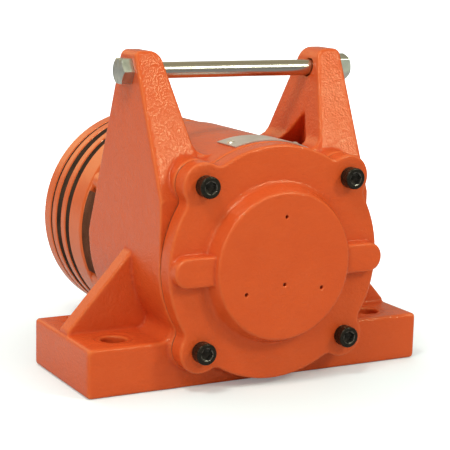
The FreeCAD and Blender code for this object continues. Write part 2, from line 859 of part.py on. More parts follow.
def clip_stations():
    """Start of each retaining ring, just outside the two faces of the weight."""
    return (weight_y - clip_play - clip_t, weight_y + weight_length + clip_play)


def weight_retaining_rings():
    """Open spring rings that keep the weight from sliding along the shaft."""
    inner_r = shaft_main_d / 2 - clip_depth
    outer_r = shaft_main_d / 2 + clip_reach
    start = 90 + clip_gap_angle / 2
    stop = 450 - clip_gap_angle / 2
    rings = [sector(outer_r, inner_r, y, y + clip_t, start, stop) for y in clip_stations()]
    return Part.makeCompound(rings)


def eccentric_weight():
    """Half-moon of solid steel around a hub, hanging below the shaft at rest."""
    half_moon = sector(weight_r, weight_hub_r / 2, weight_y, weight_y + weight_length, 180, 360)
    hub = rod(weight_hub_r, weight_y, weight_y + weight_length)
    bore = rod(shaft_main_d / 2 + shaft_fit, weight_y - past, weight_y + weight_length + past)
    return half_moon.fuse(hub).removeSplitter().cut(bore.fuse(weight_key(key_play)))


def lugged_drum(y0, y1):
    """Round drum with a lug for each long screw."""
    return rod(rear_drum_r, y0, y1).multiFuse(stack_rods(2 * rear_lug_r, y0, y1))


def rear_cover():
    """Rear bearing carrier: a spigot in the bore, a drum with six lugs and a seal seat."""
    bearing_end = rear_bearing_y + bearing_width
    spigot = rod(bore_r - spigot_play, rear_cover_y - rear_spigot_length, rear_cover_y)
    carrier = lugged_drum(rear_cover_y, casing_y).fuse(spigot)
    pocket = rod(bearing_outer_d / 2 + bearing_fit, rear_cover_y - rear_spigot_length - past, bearing_end)
    snap_r = bearing_outer_d / 2 + snap_ring_depth + clip_play
    snap_y = rear_bearing_y - snap_ring_t - clip_play
    groove = rod(snap_r, snap_y - clip_play, rear_bearing_y)
    passage = rod(seal_land_d / 2 + web_hole_play, bearing_end - past, casing_y + past)
    seal_seat = rod(seal_outer_d / 2, casing_y - seal_width, casing_y + past)
    channel = ring(channel_outer_r, channel_inner_r, casing_y - channel_depth, casing_y + past)
    cuts = [groove, passage, seal_seat, channel]
    cuts += stack_rods(stack_screw_hole_d, rear_cover_y - past, casing_y + past)
    port_y = casing_y - channel_depth / 2
    port_length = rear_drum_r - channel_outer_r + 2 * past
    for angle in stack_angles():
        for step in (1, 2):
            turn = angle + step * 360 / stack_count / 3
            start = radial(channel_outer_r - past, turn, port_y)
            outward = start - V(0, port_y, axis_height)
            cuts.append(Part.makeCylinder(port_d / 2, port_length, start, outward))
    return carrier.cut(pocket.multiFuse(cuts)).removeSplitter()


def rear_cover_gasket():
    sheet = lugged_drum(rear_joint_y, rear_cover_y).removeSplitter()
    holes = stack_rods(stack_screw_hole_d, rear_joint_y - past, rear_cover_y + past)
    bore = rod(bore_r, rear_joint_y - past, rear_cover_y + past)
    return sheet.cut(bore.multiFuse(holes))


def rear_bearing_retaining_ring():
    """Open spring ring in the rear cover, in front of the outer ring."""
    outer_r = bearing_outer_d / 2 + snap_ring_depth
    inner_r = bearing_outer_d / 2 - snap_ring_reach
    start = 270 + snap_ring_gap_angle / 2
    stop = 630 - snap_ring_gap_angle / 2
    y0 = rear_bearing_y - snap_ring_t - clip_play
    return sector(outer_r, inner_r, y0, y0 + snap_ring_t, start, stop)


def shaft_seal():
    """Lip seal pressed into the rear cover behind the bearing."""
    y0 = casing_y - seal_width
    lip_r = seal_land_d / 2 + seal_play
    outer_r = seal_outer_d / 2 - bearing_fit
    shell = (seal_outer_d / 2 - lip_r) / 4
    return turned([
        (lip_r, y0),
        (outer_r, y0),
        (outer_r, casing_y),
        (outer_r - shell, casing_y),
        (outer_r - shell, y0 + seal_width / 3),
        (lip_r + 2 * shell, y0 + seal_width / 3),
        (lip_r + shell, casing_y - seal_width / 4),
        (lip_r, casing_y - seal_width / 4),
    ])


def exhaust_felt_band():
    """Felt strips around the drum of the rear cover, one between each pair of lugs."""
    inner_r = rear_drum_r + band_play
    clear = math.degrees(math.asin((rear_lug_r + band_play) / inner_r))
    pitch = 360 / stack_count
    y0 = rear_cover_y + band_play
    y1 = casing_y - band_play
    strips = [sector(band_outer_r, inner_r, y0, y1, a + clear, a + pitch - clear) for a in stack_angles()]
    return Part.makeCompound(strips)


def turbine_casing():
    """Heavy ring around the turbine wheel, with a seat for the nozzle plate at its rear."""
    casing = rod(stack_r, casing_y, casing_end_y)
    casing = round_edges_at_y(casing, casing_y, casing_front_round)
    casing = round_edges_at_y(casing, casing_end_y, casing_edge_round)
    seat = rod(nozzle_plate_r, casing_end_y - nozzle_plate_t, casing_end_y + past)
    holes = stack_rods(stack_screw_hole_d, casing_y - past, casing_end_y + past)
    return casing.cut(rod(casing_bore_r, casing_y - past, casing_end_y + past).multiFuse([seat] + holes))


def turbine_wheel():
    """Impulse wheel: hub, thin web, rim and a ring of crescent blades."""
    web_y = wheel_y + (wheel_hub_length - wheel_web_t) / 2
    rim_y = wheel_y + wheel_rim_setback
    rim_end = wheel_y + wheel_hub_length
    rim_in = wheel_rim_r - wheel_rim_t
    bore = wheel_bore_d / 2 + shaft_fit
    wheel = turned([
        (bore, wheel_y),
        (wheel_hub_r, wheel_y),
        (wheel_hub_r, web_y),
        (rim_in, web_y),
        (rim_in, rim_y),
        (wheel_rim_r, rim_y),
        (wheel_rim_r, rim_end),
        (rim_in, rim_end),
        (rim_in, web_y + wheel_web_t),
        (wheel_hub_r, web_y + wheel_web_t),
        (wheel_hub_r, wheel_y + wheel_hub_length),
        (bore, wheel_y + wheel_hub_length),
    ])
    blades = []
    for i in range(blade_count):
        blade = turbine_blade()
        blade.rotate(V(0, 0, axis_height), V(0, 1, 0), i * 360 / blade_count)
        blades.append(blade)
    return wheel.multiFuse(blades).cut(wheel_key(key_play)).removeSplitter()


def turbine_blade():
    """Crescent between a hollow and a bulged arc, carried outwards from the rim."""
    root_z = axis_height + wheel_rim_r - blade_root
    front = wheel_y + wheel_hub_length - blade_chord - (wheel_rim_setback / 2)
    start, stop, halfway = front, front + blade_chord, front + blade_chord / 2
    hollow = Part.Arc(V(0, start, root_z), V(blade_hollow, halfway, root_z), V(0, stop, root_z)).toShape()
    bulge = Part.Arc(V(0, stop, root_z), V(blade_bulge, halfway, root_z), V(0, start, root_z)).toShape()
    return Part.Face(Part.Wire([hollow, bulge])).extrude(V(0, 0, wheel_tip_r - wheel_rim_r + blade_root))


def turbine_washer():
    y0 = wheel_y + wheel_hub_length
    return ring(wheel_washer_d / 2, wheel_thread_d / 2 + thread_play, y0, y0 + wheel_washer_t)


def turbine_nut():
    y0 = wheel_y + wheel_hub_length + wheel_washer_t
    nut = hexagon(wheel_nut_af, V(0, y0, axis_height), V(0, wheel_nut_t, 0))
    return nut.cut(rod(wheel_thread_d / 2 + thread_play, y0 - past, y0 + wheel_nut_t + past))


def nozzle_plate():
    """Plate behind the wheel: slanted nozzles blow on the blades, round windows let exhaust back."""
    plate_y = casing_end_y - nozzle_plate_t
    plate_end = casing_end_y
    dome_r = wheel_nut_af / math.sqrt(3) + dome_gap
    dome_end = max(shaft_end_y() + dome_gap, plate_end)
    disc = rod(nozzle_plate_r - nozzle_plate_play, plate_y, plate_end)
    band_in = nozzle_pitch_r - nozzle_ring_band / 2
    band = ring(nozzle_pitch_r + nozzle_ring_band / 2, band_in, plate_y - nozzle_ring_t, plate_y)
    dome = rod(dome_r + dome_wall, plate_end, dome_end + dome_wall)
    lip_r = tube_outer_r - tube_wall - tube_play
    lip = ring(lip_r, lip_r - tube_wall, plate_end, plate_end + tube_lip)
    cuts = [rod(dome_r, plate_y - past, dome_end)]
    slant = math.radians(nozzle_angle)
    for i in range(nozzle_count):
        turn = math.radians(i * 360 / nozzle_count)
        middle = radial(nozzle_pitch_r, i * 360 / nozzle_count, plate_y)
        along = V(-math.sin(turn) * math.sin(slant), math.cos(slant), math.cos(turn) * math.sin(slant))
        reach = (nozzle_plate_t + nozzle_ring_t) / math.cos(slant)
        cuts.append(Part.makeCylinder(nozzle_d / 2, 2 * reach, middle - along * reach, along))
    for i in range(exhaust_window_count):
        place = radial(exhaust_window_pitch_r, (i + 0.5) * 360 / exhaust_window_count, 0)
        cuts.append(rod(exhaust_window_d / 2, plate_y - past, plate_end + past, place))
    return disc.multiFuse([band, dome, lip]).cut(cuts[0].multiFuse(cuts[1:])).removeSplitter()


def felt_start(index):
    """Where a felt ring of the muffler starts; a metal ring follows each felt but the last."""
    return casing_end_y + sum(felt_thicknesses[:index]) + index * muffler_ring_t


def end_cap_y():
    last = len(felt_thicknesses) - 1
    return felt_start(last) + felt_thicknesses[last]


def muffler_felt(index):
    y0 = felt_start(index)
    y1 = y0 + felt_thicknesses[index]
    holes = stack_rods(stack_screw_hole_d, y0 - past, y1 + past)
    return rod(felt_outer_r, y0, y1).cut(rod(felt_inner_r, y0 - past, y1 + past).multiFuse(holes))


def muffler_ring(index):
    y0 = felt_start(index) + felt_thicknesses[index]
    y1 = y0 + muffler_ring_t
    plain = rod(stack_r, y0, y1)
    plain = round_edges_at_y(plain, y0, casing_edge_round)
    plain = round_edges_at_y(plain, y1, casing_edge_round)
    holes = stack_rods(stack_screw_hole_d, y0 - past, y1 + past)
    return plain.cut(rod(felt_inner_r, y0 - past, y1 + past).multiFuse(holes))


def inlet_tube():
    """Tube that leads the supply air from the end cap to the nozzles, apart from the exhaust."""
    return ring(tube_outer_r, tube_outer_r - tube_wall, casing_end_y, end_cap_y())


def end_cap():
    """Rear plate with the threaded air inlet at its centre and sunk heads of the long screws."""
    y0 = end_cap_y()
    y1 = y0 + end_cap_t
    cap = rod(stack_r, y0, y1)
    cap = round_edges_at_y(cap, y1, end_cap_round)
    cap = round_edges_at_y(cap, y0, casing_edge_round)
    lip_r = tube_outer_r - tube_wall - tube_play
    lip = ring(lip_r, lip_r - tube_wall, y0 - tube_lip, y0)
    hub = rod(inlet_hub_r, y0 - inlet_hub_length, y0)
    inlet = rod(inlet_bore_r, y0 - inlet_hub_length - past, y1 + past)
    sinks = stack_rods(stack_screw_head_d + 2 * stack_head_play, y1 - stack_head_sink, y1 + past)
    holes = stack_rods(stack_screw_hole_d, y0 - past, y1 + past)
    return cap.multiFuse([lip, hub]).cut(inlet.multiFuse(sinks + holes)).removeSplitter()


def stack_screws():
    """Long screws that clamp the whole rear stack to the housing."""
    seat_y = end_cap_y() + end_cap_t - stack_head_sink
    length = seat_y - rear_joint_y + stack_screw_bite
    screw = cap_screw(stack_screw_head_d, stack_screw_head_h, stack_screw_d, length, stack_screw_socket_af)
    screw = screw.mirror(V(0, 0, 0), V(0, 1, 0))
    return Part.makeCompound([screw.translated(radial(stack_pitch_r, a, seat_y)) for a in stack_angles()])


parts = {
    "main_housing": main_housing(),
    "front_cover": front_cover(),
    "front_cover_gasket": front_cover_gasket(),
    "front_cover_screws": front_cover_screws(),
    "lifting_bolt": lifting_bolt(),
    "lifting_nut": lifting_nut(),
    "nameplate": nameplate(),
    "nameplate_pins": nameplate_pins(),
    "rotor_shaft": rotor_shaft(),
    "eccentric_weight": eccentric_weight(),
    "weight_key": weight_key(),
    "weight_retaining_rings": weight_retaining_rings(),
    "rear_cover": rear_cover(),
    "rear_cover_gasket": rear_cover_gasket(),
    "rear_bearing_retaining_ring": rear_bearing_retaining_ring(),
    "shaft_seal": shaft_seal(),
    "exhaust_felt_band": exhaust_felt_band(),
    "turbine_casing": turbine_casing(),
    "turbine_wheel": turbine_wheel(),
    "turbine_key": wheel_key(),
    "turbine_washer": turbine_washer(),
    "turbine_nut": turbine_nut(),
    "nozzle_plate": nozzle_plate(),
    "inlet_tube": inlet_tube(),
    "end_cap": end_cap(),
    "stack_screws": stack_screws(),
}
for end, bearing_y in (("front", front_bearing_y), ("rear", rear_bearing_y)):
    parts[f"{end}_bearing_outer_ring"] = bearing_outer_ring(bearing_y)
    parts[f"{end}_bearing_inner_ring"] = bearing_inner_ring(bearing_y)
    parts[f"{end}_bearing_rollers"] = bearing_rollers(bearing_y)
    parts[f"{end}_bearing_cage"] = bearing_cage(bearing_y)
for number in range(len(felt_thicknesses)):
    parts[f"muffler_felt_{number + 1}"] = muffler_felt(number)
for number in range(len(felt_thicknesses) - 1):
    parts[f"muffler_ring_{number + 1}"] = muffler_ring(number)

os.makedirs("parts", exist_ok=True)
for node, shape in parts.items():
    shape.exportStep(f"parts/{node}.step")
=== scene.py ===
import math

import bmesh
import bpy
import numpy as np
from mathutils import Matrix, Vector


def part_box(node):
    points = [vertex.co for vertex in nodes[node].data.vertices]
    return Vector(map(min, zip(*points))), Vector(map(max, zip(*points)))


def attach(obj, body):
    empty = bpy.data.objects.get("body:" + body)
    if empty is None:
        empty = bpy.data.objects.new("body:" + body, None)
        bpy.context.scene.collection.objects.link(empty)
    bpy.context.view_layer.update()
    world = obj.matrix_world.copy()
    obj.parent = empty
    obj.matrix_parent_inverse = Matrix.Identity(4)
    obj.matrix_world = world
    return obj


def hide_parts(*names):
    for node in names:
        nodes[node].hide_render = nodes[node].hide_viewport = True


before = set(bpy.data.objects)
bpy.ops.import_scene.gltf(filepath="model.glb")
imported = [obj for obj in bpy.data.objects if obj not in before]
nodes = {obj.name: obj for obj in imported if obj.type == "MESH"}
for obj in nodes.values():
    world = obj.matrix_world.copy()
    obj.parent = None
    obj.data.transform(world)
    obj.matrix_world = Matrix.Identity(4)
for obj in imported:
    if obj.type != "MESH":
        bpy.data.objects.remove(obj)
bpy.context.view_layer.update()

# Main housing: one sand casting in grey iron, from the base to the tops of the towers. The mould
# leaves a pebbled skin and a radius in every corner, and the whole casting is sprayed with orange
# enamel that runs smooth over the flats and thins over the grains.
mm = 0.001
HOUSING_VOXEL = 1.1 * mm
HOUSING_PASSES = 3
HOUSING_TRIANGLES = 190000
SAME_POINT = 0.001 * mm
CAST_PEBBLE = 1.8 * mm
CAST_DEPTH = 0.6 * mm
RUN_WIDTH = 26 * mm
SAG_WIDTH = 9 * mm
SAG_SHARE = 0.8
# painted light: a redder tone painted into inner corners as shade, and a paler one along convex edges as a
# highlight
CORNER_SHADE_PAINTED = "#CA4821"
EDGE_HIGHLIGHT_PAINTED = "#E2733A"


def linear(colour):
    """Linear RGBA from an sRGB hex value: below 0.04045 a straight line, above it a 2.4 power."""
    channels = np.array([int(colour[i:i + 2], 16) / 255 for i in (1, 3, 5)])
    low = channels / 12.92
    high = ((channels + 0.055) / 1.055) ** 2.4
    return (*np.where(channels <= 0.04045, low, high), 1.0)


def put(tree, kind, sockets=None, **settings):
    """Adds one shader node. Settings are its own properties; sockets maps an input's name or number
    to a value, or to another node's output that is linked to it."""
    node = tree.nodes.new("ShaderNode" + kind)
    for name, value in settings.items():
        setattr(node, name, value)
    for key, value in (sockets or {}).items():
        if isinstance(value, bpy.types.NodeSocket):
            tree.links.new(value, node.inputs[key])
        else:
            node.inputs[key].default_value = value
    return node


def new_material(name):
    """Empty node material, with its node tree and its Object coordinates."""
    material = bpy.data.materials.new(name)
    material.use_nodes = True
    tree = material.node_tree
    tree.nodes.clear()
    place = put(tree, "TexCoord").outputs["Object"]
    return material, tree, place


def baked(piece):
    """The piece's mesh with its modifiers worked in."""
    graph = bpy.context.evaluated_depsgraph_get()
    return bpy.data.meshes.new_from_object(piece.evaluated_get(graph))


def cast_skin(name, node, voxel, passes, triangles):
    """Skin of a casting: the CAD solid is merged and re-meshed on a cubic grid of one voxel, then each
    point moves half way to the mean of its neighbours, a number of passes over, so that every edge and
    inner corner gets a radius of about one voxel times the root of the passes. Flats are thinned last."""
    mesh = nodes[node].data.copy()
    shell = bmesh.new()
    shell.from_mesh(mesh)
    bmesh.ops.remove_doubles(shell, verts=shell.verts, dist=SAME_POINT)
    shell.to_mesh(mesh)
    shell.free()
    mesh.materials.clear()
    piece = bpy.data.objects.new(name, mesh)
    bpy.context.scene.collection.objects.link(piece)

    grid = piece.modifiers.new("grid", "REMESH")
    grid.mode = "VOXEL"
    grid.voxel_size = voxel
    soft = piece.modifiers.new("soft", "SMOOTH")
    soft.factor = 0.5
    soft.iterations = passes
    piece.data = baked(piece)
    piece.modifiers.clear()

    thin = piece.modifiers.new("thin", "DECIMATE")
    thin.ratio = min(1.0, triangles / (2 * len(piece.data.polygons)))
    piece.data = baked(piece)
    piece.modifiers.clear()
    piece.data.shade_smooth()
    return piece


def orange_enamel(name, pebble, depth, dark, light, painted_light):
    """Orange alkyd enamel over an iron skin, between a dark and a light tone. Pebble is the grain's
    width and depth its height. To the eye it is a warm orange with a soft gloss, and small bright
    speckles where the grains catch a lamp. With painted light, shade is painted into inner corners as
    a redder tone, and a highlight along convex edges as a paler one. The grains are drawn coarser than
    the sand was, so that they show."""
    material, tree, place = new_material(name)
    grains = put(tree, "TexNoise", {"Vector": place, "Scale": 1 / pebble, "Detail": 3.0, "Roughness": 0.55})
    runs = put(tree, "TexNoise", {"Vector": place, "Scale": 1 / RUN_WIDTH, "Detail": 2.0})
    sags = put(tree, "TexNoise", {"Vector": place, "Scale": 1 / SAG_WIDTH, "Detail": 2.0})
    patches = put(tree, "MapRange", {"Value": runs.outputs["Fac"], "From Min": 0.3, "From Max": 0.7,
                                     "To Min": 0.65, "To Max": 1.0})
    grain_height = put(tree, "Math", {0: grains.outputs["Fac"], 1: patches.outputs["Result"]},
                       operation="MULTIPLY")
    height = put(tree, "Math", {0: sags.outputs["Fac"], 1: SAG_SHARE, 2: grain_height.outputs["Value"]},
                 operation="MULTIPLY_ADD")
    bump = put(tree, "Bump", {"Height": height.outputs["Value"], "Distance": depth})

    tint = put(tree, "Mix", {0: runs.outputs["Fac"], 6: linear(dark), 7: linear(light)}, data_type="RGBA")
    # painted shade: inner corners, where pointiness is low, turn redder; painted highlight: convex edges,
    # where it is high, turn paler in place of their glints
    if painted_light:
        edge = put(tree, "NewGeometry").outputs["Pointiness"]
        hollow = put(tree, "MapRange", {"Value": edge, "From Min": 0.47, "From Max": 0.5,
                                        "To Min": 1.0, "To Max": 0.0})
        ridge = put(tree, "MapRange", {"Value": edge, "From Min": 0.51, "From Max": 0.56})
        tint = put(tree, "Mix", {0: hollow.outputs["Result"], 6: tint.outputs[2], 7: linear(CORNER_SHADE_PAINTED)},
                   data_type="RGBA")
        tint = put(tree, "Mix", {0: ridge.outputs["Result"], 6: tint.outputs[2], 7: linear(EDGE_HIGHLIGHT_PAINTED)},
                   data_type="RGBA")
    gloss = put(tree, "MapRange", {"Value": sags.outputs["Fac"], "From Min": 0.3, "From Max": 0.7,
                                   "To Min": 0.12, "To Max": 0.22})
    shader = put(tree, "BsdfPrincipled", {
        "Base Color": tint.outputs[2], "Roughness": gloss.outputs["Result"], "IOR": 1.55,
        "Specular Tint": linear("#FFF2CC"), "Normal": bump.outputs["Normal"]})
    put(tree, "OutputMaterial", {"Surface": shader.outputs["BSDF"]})
    return material


# the casting's enamel carries painted light: shade in its inner corners and a highlight along its edges
cast_enamel = orange_enamel(
    "orange_enamel_on_sand_cast_iron", CAST_PEBBLE, CAST_DEPTH, "#D25224", "#DC5C2A", painted_light=True)
housing = cast_skin("cast_housing", "main_housing", HOUSING_VOXEL, HOUSING_PASSES, HOUSING_TRIANGLES)
housing.data.materials.append(cast_enamel)
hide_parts("main_housing")
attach(housing, "housing")

# Front cover: a smaller iron casting with a bossed face, side bars and drilled vents. It is cast and
# painted like the housing, and machined only where it meets the gasket and the bearing.
COVER_VOXEL = 0.75 * mm
COVER_PASSES = 6
COVER_TRIANGLES = 170000
cover = cast_skin("cast_front_cover", "front_cover", COVER_VOXEL, COVER_PASSES, COVER_TRIANGLES)
cover.data.materials.append(cast_enamel)
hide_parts("front_cover")
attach(cover, "housing")

# Cover gaskets: die-cut sheets of compressed fibre, clamped between the machined faces of the covers
# and the housing. Soaked with oil, they show as a thin dark brown line round each joint.
FIBRE_WIDTH = 1.5 * mm
gasket_fibre, tree, place = new_material("compressed_fibre_gasket")
fibres = put(tree, "TexNoise", {"Vector": place, "Scale": 1 / FIBRE_WIDTH, "Detail": 4.0})
tone = put(tree, "Mix", {0: fibres.outputs["Fac"], 6: linear("#2A1D17"), 7: linear("#4A3328")},
           data_type="RGBA")
bump = put(tree, "Bump", {"Height": fibres.outputs["Fac"], "Distance": 0.05 * mm})
shader = put(tree, "BsdfPrincipled", {
    "Base Color": tone.outputs[2], "Roughness": 0.85, "Normal": bump.outputs["Normal"]})
put(tree, "OutputMaterial", {"Surface": shader.outputs["BSDF"]})


def dress(material, *names):
    """Gives CAD nodes whose shape is right one material in place of their own."""
    for name in names:
        nodes[name].data.materials.clear()
        nodes[name].data.materials.append(material)


dress(gasket_fibre, "front_cover_gasket", "rear_cover_gasket")

# Cover screws: four socket head cap screws in alloy steel, knurled round the head, hold the front
# cover by its ears. Black oxide and oil leave them nearly black, with a grey shine on the rims and
# bare steel where the key has rubbed.
screws_low, screws_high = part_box("front_cover_screws")
# the turbine casing is round about the shaft, so the middle of its box is at the shaft's height
casing_low, casing_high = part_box("turbine_casing")
SHAFT_Z = (casing_low[2] + casing_high[2]) / 2
EAR_PITCH_R = 89.2 * mm
EAR_ANGLES = np.radians([45.0, 135.0, 225.0, 315.0])
KEY_TURNS = np.radians([12.0, 33.0, 51.0, 22.0])
SCREW_HEAD_H = 9.6 * mm
SCREW_SEAT_Y = screws_low[1] + SCREW_HEAD_H
SCREW_STEPS = 192
OIL_SPOT = 3 * mm
SMOOTH_ANGLE = math.radians(35.0)


def hex_radius(angles, across_flats, turn=0.0):
    """Radius of a hexagon at each angle: half the width across flats over the cosine of the angle from
    the middle of the nearest flat."""
    sixth = math.pi / 3
    return across_flats / 2 / np.cos(np.mod(angles - turn, sixth) - sixth / 2)


def helix_wave(heights, angles, pitch):
    """Triangle wave, from 0 at a thread's crest to 1 at its root, of the height over the pitch less the
    angle over a full turn: one row for each height, one column for each angle."""
    return np.abs(np.mod(heights[:, None] / pitch - angles / (2 * math.pi), 1) * 2 - 1)


def ringed_body(rows, hollow=False):
    """Closed body about the Z axis from rows of a height and the radii at equal angles round it: a point
    is the radius times the cosine and the sine of its angle, at the row's height. A fan closes the first
    and the last row at the axis. In a hollow body the last row joins the first instead."""
    heights, radii = (np.array(column, float) for column in zip(*rows))
    count, steps = radii.shape
    angles = np.linspace(0, 2 * math.pi, steps, endpoint=False)
    level = np.broadcast_to(heights[:, None], radii.shape)
    points = np.stack([radii * np.cos(angles), radii * np.sin(angles), level], axis=-1).reshape(-1, 3)
    index = np.arange(count * steps).reshape(count, steps)
    after = np.roll(index, -1, axis=1)
    quads = np.stack([index, after, np.roll(after, -1, axis=0), np.roll(index, -1, axis=0)], axis=-1)
    if hollow:
        return points, [quads.reshape(-1, 4)]
    poles = [[0, 0, heights[0]], [0, 0, heights[-1]]]
    low_fan = np.stack([after[0], index[0], np.full(steps, count * steps)], axis=-1)
    high_fan = np.stack([index[-1], after[-1], np.full(steps, count * steps + 1)], axis=-1)
    return np.vstack([points, poles]), [quads[:-1].reshape(-1, 4), low_fan, high_fan]


def placed(body, turn, shift):
    """A body turned by a rotation matrix and then moved."""
    points, faces = body
    return points @ np.array(turn.to_3x3()).T + np.asarray(shift), faces


def as_piece(name, bodies):
    """One object from several bodies, each of points and arrays of faces, with its faces turned outwards
    and shaded smooth up to an angle."""
    points, faces, start = [], [], 0
    for body_points, body_faces in bodies:
        points.append(body_points)
        for block in body_faces:
            faces += (block + start).tolist()
        start += len(body_points)
    mesh = bpy.data.meshes.new(name)
    mesh.from_pydata(np.vstack(points).tolist(), [], faces)
    shell = bmesh.new()
    shell.from_mesh(mesh)
    bmesh.ops.recalc_face_normals(shell, faces=shell.faces)
    shell.to_mesh(mesh)
    shell.free()
    mesh.shade_smooth()
    mesh.set_sharp_from_angle(angle=SMOOTH_ANGLE)
    piece = bpy.data.objects.new(name, mesh)
    bpy.context.scene.collection.objects.link(piece)
    return piece


def cap_screw(head_d, head_h, shank_d, length, socket, steps, teeth, rows_per_turn):
    """Cap screw along Z, its head up and the underside of the head at zero. The head's side is a circle
    less a cosine ripple of small teeth, its rim a quarter circle, the socket a hexagon, and the shank a
    helical thread whose radius falls by the thread's depth times the helix wave."""
    angles = np.linspace(0, 2 * math.pi, steps, endpoint=False)
    plain = np.ones(steps)
    head_r, shank_r = head_d / 2, shank_d / 2
    rim, tooth = 0.07 * head_d, 0.012 * head_d
    pitch, depth = 0.15 * shank_d, 0.07 * shank_d
    tip, threaded, runout = 0.1 * shank_d, 0.6 * length, 0.02 * length
    mouth_r, floor_share = 1.2 * socket / 2, 0.25

    thread_h = np.linspace(tip - length, threaded - length, rows_per_turn * int(threaded / pitch))
    knurl = head_r - tooth * (0.5 + 0.5 * np.cos(teeth * angles))
    hexagon = hex_radius(angles, socket)
    # the tip, the thread, the plain shank and the underside of the head
    rows = [(-length, 0.8 * shank_r * plain)]
    rows += list(zip(thread_h, shank_r - depth * helix_wave(thread_h, angles, pitch)))
    rows += [(threaded + runout - length, shank_r * plain)]
    rows += [(0, shank_r * plain), (0, 0.97 * head_r * plain)]
    # the knurled side between two plain bands, and the rounded rim
    rows += [(0.08 * head_h, 0.99 * head_r * plain), (0.12 * head_h, knurl), (0.78 * head_h, knurl)]
    rows += [(0.81 * head_h, 0.99 * head_r * plain)]
    rows += [(head_h - rim + rim * math.sin(t), (head_r - rim + rim * math.cos(t)) * plain)
             for t in np.linspace(0, math.pi / 2, 5)]
    # the socket: its countersunk mouth, its walls and the cone that the drill left in its floor
    rows += [(head_h, mouth_r * plain), (0.95 * head_h, hexagon)]
    rows += [(0.45 * head_h, hexagon), (0.36 * head_h, floor_share * hexagon)]
    return ringed_body(rows)


screw = cap_screw(head_d=16.6 * mm, head_h=SCREW_HEAD_H, shank_d=11.0 * mm,
                  length=screws_high[1] - SCREW_SEAT_Y, socket=9.0 * mm,
                  steps=SCREW_STEPS, teeth=48, rows_per_turn=6)
facing_front = Matrix.Rotation(math.pi / 2, 4, "X")
cover_screws = as_piece("cover_cap_screws", [
    placed(screw, facing_front @ Matrix.Rotation(turn, 4, "Z"),
           (EAR_PITCH_R * math.cos(angle), SCREW_SEAT_Y, SHAFT_Z + EAR_PITCH_R * math.sin(angle)))
    for turn, angle in zip(KEY_TURNS, EAR_ANGLES)])

# the key has rubbed the oxide off the socket's walls, most of all at their top: the last three rings
# of a screw, before its two poles, are the top and the foot of the walls and the edge of the floor
rubbed = np.zeros(len(screw[0]))
rubbed[-2 - 3 * SCREW_STEPS:-2] = np.repeat([1.0, 0.25, 0.0], SCREW_STEPS)
mark = cover_screws.data.attributes.new("rubbed", "FLOAT", "POINT")
mark.data.foreach_set("value", np.tile(rubbed, len(EAR_ANGLES)))

# black oxide is a thin brownish black film, half metal to the eye, with an uneven shine of oil; a piece
# without the rubbed attribute reads it as zero and is black all over
black_oxide, tree, place = new_material("oiled_black_oxide_steel")
oil = put(tree, "TexNoise", {"Vector": place, "Scale": 1 / OIL_SPOT, "Detail": 4.0})
film = put(tree, "Mix", {0: oil.outputs["Fac"], 6: linear("#1C1A15"), 7: linear("#37342B")},
           data_type="RGBA")
sheen = put(tree, "MapRange", {"Value": oil.outputs["Fac"], "To Min": 0.18, "To Max": 0.38})
bump = put(tree, "Bump", {"Height": oil.outputs["Fac"], "Distance": 0.02 * mm})
wear = put(tree, "Attribute", attribute_name="rubbed").outputs["Fac"]
tone = put(tree, "Mix", {0: wear, 6: film.outputs[2], 7: linear("#8F8C86")}, data_type="RGBA")
metal = put(tree, "MapRange", {"Value": wear, "To Min": 0.6, "To Max": 1.0})
shader = put(tree, "BsdfPrincipled", {
    "Base Color": tone.outputs[2], "Metallic": metal.outputs["Result"],
    "Roughness": sheen.outputs["Result"], "Normal": bump.outputs["Normal"]})
put(tree, "OutputMaterial", {"Surface": shader.outputs["BSDF"]})
cover_screws.data.materials.append(black_oxide)
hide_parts("front_cover_screws")
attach(cover_screws, "housing")

# Lifting bolt and nut: a long hex bolt in zinc-plated steel clamps the tops of the towers, and its
# bright drawn shank is the bar that a hook or a hand takes hold of. The hexes are forged, with their
# corners turned off.
bolt_low, bolt_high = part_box("lifting_bolt")
nut_low, nut_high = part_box("lifting_nut")
LIFT_Y, LIFT_Z = (nut_low[1] + nut_high[1]) / 2, (nut_low[2] + nut_high[2]) / 2
HEAD_X, SEAT_X, NUT_END_X, BOLT_END_X = bolt_low[0], nut_low[0], nut_high[0], bolt_high[0]
HEX_FLATS = bolt_high[2] - bolt_low[2]
HEX_STEPS = 144
HEAD_TURN, NUT_TURN = math.radians(30.0), math.radians(-9.0)
CHAMFER_R = 0.97 * HEX_FLATS / 2
CHAMFER_SLOPE = 1 / math.tan(math.radians(30.0))
CHAMFER_BAND = 2 * mm
BAR_R = 6.35 * mm
BOLT_PITCH, BOLT_THREAD_DEPTH = 1.95 * mm, 0.9 * mm
THREAD_REACH, THREAD_RUNOUT, BOLT_TIP = 12 * mm, 2 * mm, 1.2 * mm
NUT_PLAY, NUT_SINK = 0.1 * mm, 0.8 * mm
HAIR = 0.01 * mm


def hex_rows(bottom, top, turn, angles, both_ends):
    """Rows of a forged hex between two heights: the hexagon's radius, or less where the cone of a
    chamfer passes inside it, at the bottom and, for both ends, at the top."""
    heights = np.concatenate([np.linspace(bottom, bottom + CHAMFER_BAND, 7),
                              np.linspace(top - CHAMFER_BAND, top, 7)])
    cone = CHAMFER_R + (heights - bottom) * CHAMFER_SLOPE
    if both_ends:
        cone = np.minimum(cone, CHAMFER_R + (top - heights) * CHAMFER_SLOPE)
    return list(zip(heights, np.minimum(hex_radius(angles, HEX_FLATS, turn), cone[:, None])))


